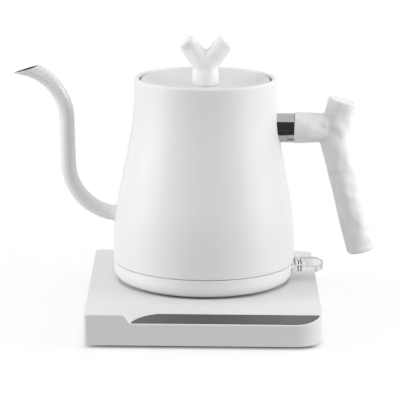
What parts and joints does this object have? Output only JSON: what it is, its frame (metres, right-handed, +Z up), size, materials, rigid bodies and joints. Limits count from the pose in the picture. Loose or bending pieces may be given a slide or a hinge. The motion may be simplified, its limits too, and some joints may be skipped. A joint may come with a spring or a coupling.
{
  "type": "gooseneck kettle",
  "caption": "Electric pour-over kettle: tapered white body, slender swan-neck spout, branch-shaped handle and lid knob, clear switch lever, flat power base.",
  "frame": {"origin": "on the kettle's upright axis, in the plane that the base's feet stand on", "axes": "+X towards the handle, -X towards the spout, -Y towards the front of the base, +Z up"},
  "size_m": [0.2713, 0.1995, 0.2099],
  "materials": {
    "white_plastic": "satin white moulding",
    "white_enamel": "satin white coating on steel",
    "white_twig": "smooth satin white moulding",
    "black_plastic": "fine matt black moulding",
    "trim_black": "glossy dark strip",
    "polished_steel": "polished stainless steel",
    "steel": "brushed stainless steel",
    "aluminium": "cast aluminium",
    "brass": "plated contact metal",
    "rubber": "soft grey rubber",
    "silicone": "translucent white silicone",
    "clear_plastic": "clear moulded plastic",
    "wire": "insulated wire"
  },
  "bodies": {
    "power_base": {"base_top_cover": "white_plastic", "base_bottom_plate": "white_plastic", "front_trim_strip": "trim_black", "base_feet": "rubber", "base_screws": "steel", "connector_housing": "black_plastic", "connector_screws": "steel", "earth_contact": "brass", "inner_contact": "brass", "outer_contact": "brass", "collar_spring": "steel", "cord_gland": "white_plastic", "base_wires": "wire"},
    "guard_collar": {"guard_collar": "white_plastic"},
    "kettle": {"body_shell": "white_enamel", "neck_ring": "steel", "spout_tube": "white_enamel", "heating_plate": "steel", "diffuser_plate": "aluminium", "heating_element": "steel", "element_leads": "wire", "control_unit": "black_plastic", "control_screws": "steel", "earth_pin": "brass", "inner_ring": "brass", "outer_ring": "brass", "bottom_cover": "white_plastic", "bottom_cover_screws": "steel", "kettle_pads": "rubber", "switch_bracket": "black_plastic", "pivot_pin": "steel", "bimetal_disc": "steel", "indicator_lamp": "clear_plastic", "steam_tube": "steel", "steam_grommet": "silicone", "handle_ferrule": "polished_steel", "handle_grip": "white_twig", "handle_grub_screw": "steel"},
    "switch_lever": {"switch_lever": "clear_plastic"},
    "lid": {"lid_disc": "white_enamel", "lid_liner": "steel", "lid_seal": "silicone", "lid_knob": "white_twig", "lid_spacer": "steel", "lid_screw": "steel"}
  },
  "joints": [
    {"name": "kettle_turn", "type": "hinge", "parent": "power_base", "child": "guard_collar", "pos_m": [0, 0, 0.0342], "axis": [0, 0, 1], "continuous": true},
    {"name": "kettle_lift", "type": "slide", "parent": "guard_collar", "child": "kettle", "axis": [0, 0, 1], "range_m": [0, 0.06]},
    {"name": "lid_lift", "type": "slide", "parent": "kettle", "child": "lid", "axis": [0, 0, 1], "range_m": [0, 0.05]},
    {"name": "switch_press", "type": "hinge", "parent": "kettle", "child": "switch_lever", "pos_m": [0.06, 0, 0.0364], "axis": [0, 1, 0], "range_deg": [0, 8], "stiffness_Nm_per_rad": 0.05, "springref_deg": -8.59}
  ]
}
